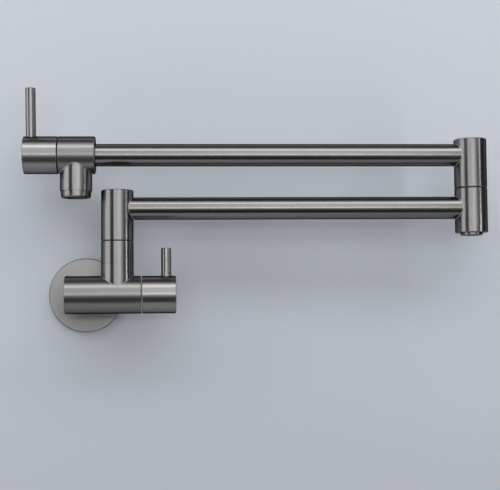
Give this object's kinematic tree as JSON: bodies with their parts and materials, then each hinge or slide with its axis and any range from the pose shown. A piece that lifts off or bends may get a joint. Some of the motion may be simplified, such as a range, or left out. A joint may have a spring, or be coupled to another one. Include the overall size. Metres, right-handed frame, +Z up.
{
  "type": "wall mounted pot filler",
  "caption": "Wall mounted pot filler: round flange, horizontal valve body, folding double arm on vertical swivels, spout valve with lever and downward aerator nose.",
  "frame": {"origin": "centre of the inlet thread's mouth, on the wall plane", "axes": "+X to the right along the wall, +Y into the wall, +Z up"},
  "size_m": [0.3739, 0.0664, 0.1962],
  "materials": {
    "brushed_gunmetal": "fine brushed gunmetal",
    "rubber_seal": "matt moulded rubber",
    "gasket_foam": "closed cell foam",
    "turned_brass": "turned brass",
    "stainless_inner": "plain stainless steel",
    "ceramic_disc": "lapped white ceramic",
    "black_plastic": "fine matt black plastic"
  },
  "bodies": {
    "wall_valve": {"wall_flange": "brushed_gunmetal", "flange_gasket": "gasket_foam", "flange_o_ring": "rubber_seal", "inlet_neck": "brushed_gunmetal", "inlet_washer": "rubber_seal", "inlet_strainer": "stainless_inner", "valve_body": "brushed_gunmetal", "swivel_collar": "brushed_gunmetal", "lower_spindle": "turned_brass", "lower_spindle_o_rings": "rubber_seal", "lower_swivel_washer": "black_plastic", "lower_retaining_ring": "stainless_inner", "shutoff_cartridge": "turned_brass", "shutoff_gland_nut": "turned_brass", "shutoff_fixed_disc": "ceramic_disc", "shutoff_seat_seal": "rubber_seal"},
    "shutoff_handle": {"shutoff_handle_cap": "brushed_gunmetal", "shutoff_lever": "brushed_gunmetal", "shutoff_grub_screw": "stainless_inner", "shutoff_stem": "turned_brass", "shutoff_moving_disc": "ceramic_disc"},
    "lower_arm": {"lower_arm_hub": "brushed_gunmetal", "lower_hub_cap": "brushed_gunmetal", "lower_tube": "brushed_gunmetal", "elbow_lower_socket": "brushed_gunmetal", "elbow_plug": "brushed_gunmetal", "elbow_plug_seal": "rubber_seal", "elbow_spindle": "turned_brass", "elbow_spindle_o_rings": "rubber_seal", "elbow_swivel_washer": "black_plastic", "elbow_retaining_ring": "stainless_inner"},
    "upper_arm": {"elbow_upper_socket": "brushed_gunmetal", "elbow_top_cap": "brushed_gunmetal", "upper_tube": "brushed_gunmetal", "spout_body": "brushed_gunmetal", "aerator_housing": "brushed_gunmetal", "aerator_grille": "black_plastic", "aerator_screen": "stainless_inner", "aerator_washer": "rubber_seal", "spout_cartridge": "turned_brass", "spout_gland_nut": "turned_brass", "spout_fixed_disc": "ceramic_disc", "spout_seat_seal": "rubber_seal"},
    "spout_handle": {"spout_handle_cap": "brushed_gunmetal", "spout_lever": "brushed_gunmetal", "spout_grub_screw": "stainless_inner", "spout_stem": "turned_brass", "spout_moving_disc": "ceramic_disc"}
  },
  "joints": [
    {"name": "lower_arm_swivel", "type": "hinge", "parent": "wall_valve", "child": "lower_arm", "pos_m": [0.0272, -0.047, 0.0688], "axis": [0, 0, 1], "range_deg": [-178.7, 1.3]},
    {"name": "elbow_swivel", "type": "hinge", "parent": "lower_arm", "child": "upper_arm", "pos_m": [0.31383, -0.0535, 0.0847], "axis": [0, 0, 1], "continuous": true},
    {"name": "shutoff_lever_turn", "type": "hinge", "parent": "wall_valve", "child": "shutoff_handle", "pos_m": [0.06, -0.047, 0], "axis": [1, 0, 0], "range_deg": [0, 90]},
    {"name": "spout_lever_turn", "type": "hinge", "parent": "upper_arm", "child": "spout_handle", "pos_m": [-0.00559, -0.04626, 0.1118], "axis": [0.9997, -0.0227, 0], "range_deg": [0, 90]}
  ]
}
